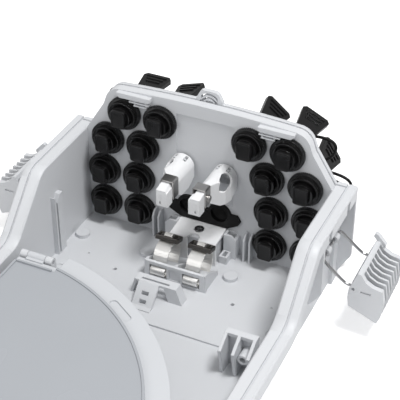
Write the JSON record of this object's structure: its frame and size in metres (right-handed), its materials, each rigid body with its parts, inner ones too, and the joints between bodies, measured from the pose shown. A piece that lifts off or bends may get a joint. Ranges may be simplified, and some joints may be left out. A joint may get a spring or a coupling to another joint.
{
  "type": "fibre termination box",
  "caption": "Open fibre termination box base with capped customer ports on its end wall, hinged splice tray, cable clamps, fibre guides and side latches.",
  "frame": {"origin": "centre of the back face, which is the centre of its four fixing holes", "axes": "+Y towards the end wall with the ports, +Z out of the back face through the open side, +X to the right seen from the open side with the ports at the top"},
  "size_m": [0.3398, 0.3997, 0.1483],
  "materials": {
    "case_plastic": "moulded light grey plastic, fine satin",
    "arm_plastic": "moulded off-white plastic",
    "tray_plastic": "moulded light grey plastic",
    "lid_plastic": "smooth light grey plastic",
    "black_plastic": "moulded black plastic",
    "black_soft": "black moulded plastic",
    "black_rubber": "black rubber",
    "bright_steel": "stainless steel",
    "dark_steel": "dark pressed steel"
  },
  "bodies": {
    "case": {"case_floor": "case_plastic", "case_tray_stand": "case_plastic", "case_fittings": "case_plastic", "case_near_wall": "case_plastic", "case_end_wall": "case_plastic", "case_side_left": "case_plastic", "case_side_right": "case_plastic", "port_adapters_left": "black_plastic", "port_adapters_right": "black_plastic", "lock_nuts": "black_plastic", "inner_dust_plugs": "black_soft", "cap_tethers": "black_rubber", "cable_seal": "black_rubber", "seal_clamp": "arm_plastic", "clamp_screw": "bright_steel", "strap_bracket": "arm_plastic", "strap_bands": "bright_steel", "strap_housings": "dark_steel", "strap_screws": "dark_steel", "fibre_bridge": "arm_plastic", "fibre_clip_block": "tray_plastic", "guide_arm_left": "arm_plastic", "guide_arm_right": "arm_plastic", "arm_clip_left": "dark_steel", "arm_clip_right": "dark_steel", "tray_pin": "bright_steel"},
    "tray": {"splice_tray": "tray_plastic", "splice_holder": "arm_plastic"},
    "lid": {"tray_lid": "lid_plastic"},
    "bail_left": {"latch_bail_left": "bright_steel"},
    "lever_left": {"latch_lever_left": "case_plastic"},
    "bail_right": {"latch_bail_right": "bright_steel"},
    "lever_right": {"latch_lever_right": "case_plastic"},
    "cap_01": {"dust_cap_01": "black_plastic"},
    "cap_02": {"dust_cap_02": "black_plastic"},
    "cap_03": {"dust_cap_03": "black_plastic"},
    "cap_04": {"dust_cap_04": "black_plastic"},
    "cap_05": {"dust_cap_05": "black_plastic"},
    "cap_06": {"dust_cap_06": "black_plastic"},
    "cap_07": {"dust_cap_07": "black_plastic"},
    "cap_08": {"dust_cap_08": "black_plastic"},
    "cap_09": {"dust_cap_09": "black_plastic"},
    "cap_10": {"dust_cap_10": "black_plastic"},
    "cap_11": {"dust_cap_11": "black_plastic"},
    "cap_12": {"dust_cap_12": "black_plastic"},
    "cap_13": {"dust_cap_13": "black_plastic"},
    "cap_14": {"dust_cap_14": "black_plastic"},
    "cap_15": {"dust_cap_15": "black_plastic"},
    "cap_16": {"dust_cap_16": "black_plastic"}
  },
  "joints": [
    {"name": "tray_tilt", "type": "hinge", "parent": "case", "child": "tray", "pos_m": [-0.087, 0.0385, 0.0465], "axis": [-1, 0, 0], "range_deg": [0, 85]},
    {"name": "lid_lift", "type": "slide", "parent": "tray", "child": "lid", "axis": [0, 0, 1], "range_m": [0, 0.055]},
    {"name": "bail_left_swing", "type": "hinge", "parent": "case", "child": "bail_left", "pos_m": [-0.1185, 0.13, 0.0628], "axis": [0, 1, 0], "range_deg": [0, 55]},
    {"name": "lever_left_swing", "type": "hinge", "parent": "bail_left", "child": "lever_left", "pos_m": [-0.1455, 0.13, 0.0458], "axis": [0, 1, 0], "range_deg": [0, 45]},
    {"name": "bail_right_swing", "type": "hinge", "parent": "case", "child": "bail_right", "pos_m": [0.1185, 0.13, 0.0628], "axis": [0, -1, 0], "range_deg": [0, 55]},
    {"name": "lever_right_swing", "type": "hinge", "parent": "bail_right", "child": "lever_right", "pos_m": [0.1455, 0.13, 0.0458], "axis": [0, -1, 0], "range_deg": [0, 45]},
    {"name": "cap_01_twist", "type": "hinge", "parent": "case", "child": "cap_01", "pos_m": [-0.0705, 0.177, 0.11589], "axis": [0, 1, 0], "range_deg": [0, 90]},
    {"name": "cap_02_twist", "type": "hinge", "parent": "case", "child": "cap_02", "pos_m": [-0.0385, 0.177, 0.11589], "axis": [0, 1, 0], "range_deg": [0, 90]},
    {"name": "cap_03_twist", "type": "hinge", "parent": "case", "child": "cap_03", "pos_m": [-0.0865, 0.177, 0.08818], "axis": [0, 1, 0], "range_deg": [0, 90]},
    {"name": "cap_04_twist", "type": "hinge", "parent": "case", "child": "cap_04", "pos_m": [-0.0545, 0.177, 0.08818], "axis": [0, 1, 0], "range_deg": [0, 90]},
    {"name": "cap_05_twist", "type": "hinge", "parent": "case", "child": "cap_05", "pos_m": [-0.091, 0.177, 0.0565], "axis": [0, 1, 0], "range_deg": [0, 90]},
    {"name": "cap_06_twist", "type": "hinge", "parent": "case", "child": "cap_06", "pos_m": [-0.059, 0.177, 0.0565], "axis": [0, 1, 0], "range_deg": [0, 90]},
    {"name": "cap_07_twist", "type": "hinge", "parent": "case", "child": "cap_07", "pos_m": [-0.091, 0.177, 0.0245], "axis": [0, 1, 0], "range_deg": [0, 90]},
    {"name": "cap_08_twist", "type": "hinge", "parent": "case", "child": "cap_08", "pos_m": [-0.059, 0.177, 0.0245], "axis": [0, 1, 0], "range_deg": [0, 90]},
    {"name": "cap_09_twist", "type": "hinge", "parent": "case", "child": "cap_09", "pos_m": [0.0385, 0.177, 0.11589], "axis": [0, 1, 0], "range_deg": [0, 90]},
    {"name": "cap_10_twist", "type": "hinge", "parent": "case", "child": "cap_10", "pos_m": [0.0705, 0.177, 0.11589], "axis": [0, 1, 0], "range_deg": [0, 90]},
    {"name": "cap_11_twist", "type": "hinge", "parent": "case", "child": "cap_11", "pos_m": [0.0545, 0.177, 0.08818], "axis": [0, 1, 0], "range_deg": [0, 90]},
    {"name": "cap_12_twist", "type": "hinge", "parent": "case", "child": "cap_12", "pos_m": [0.0865, 0.177, 0.08818], "axis": [0, 1, 0], "range_deg": [0, 90]},
    {"name": "cap_13_twist", "type": "hinge", "parent": "case", "child": "cap_13", "pos_m": [0.059, 0.177, 0.0565], "axis": [0, 1, 0], "range_deg": [0, 90]},
    {"name": "cap_14_twist", "type": "hinge", "parent": "case", "child": "cap_14", "pos_m": [0.091, 0.177, 0.0565], "axis": [0, 1, 0], "range_deg": [0, 90]},
    {"name": "cap_15_twist", "type": "hinge", "parent": "case", "child": "cap_15", "pos_m": [0.059, 0.177, 0.0245], "axis": [0, 1, 0], "range_deg": [0, 90]},
    {"name": "cap_16_twist", "type": "hinge", "parent": "case", "child": "cap_16", "pos_m": [0.091, 0.177, 0.0245], "axis": [0, 1, 0], "range_deg": [0, 90]}
  ]
}
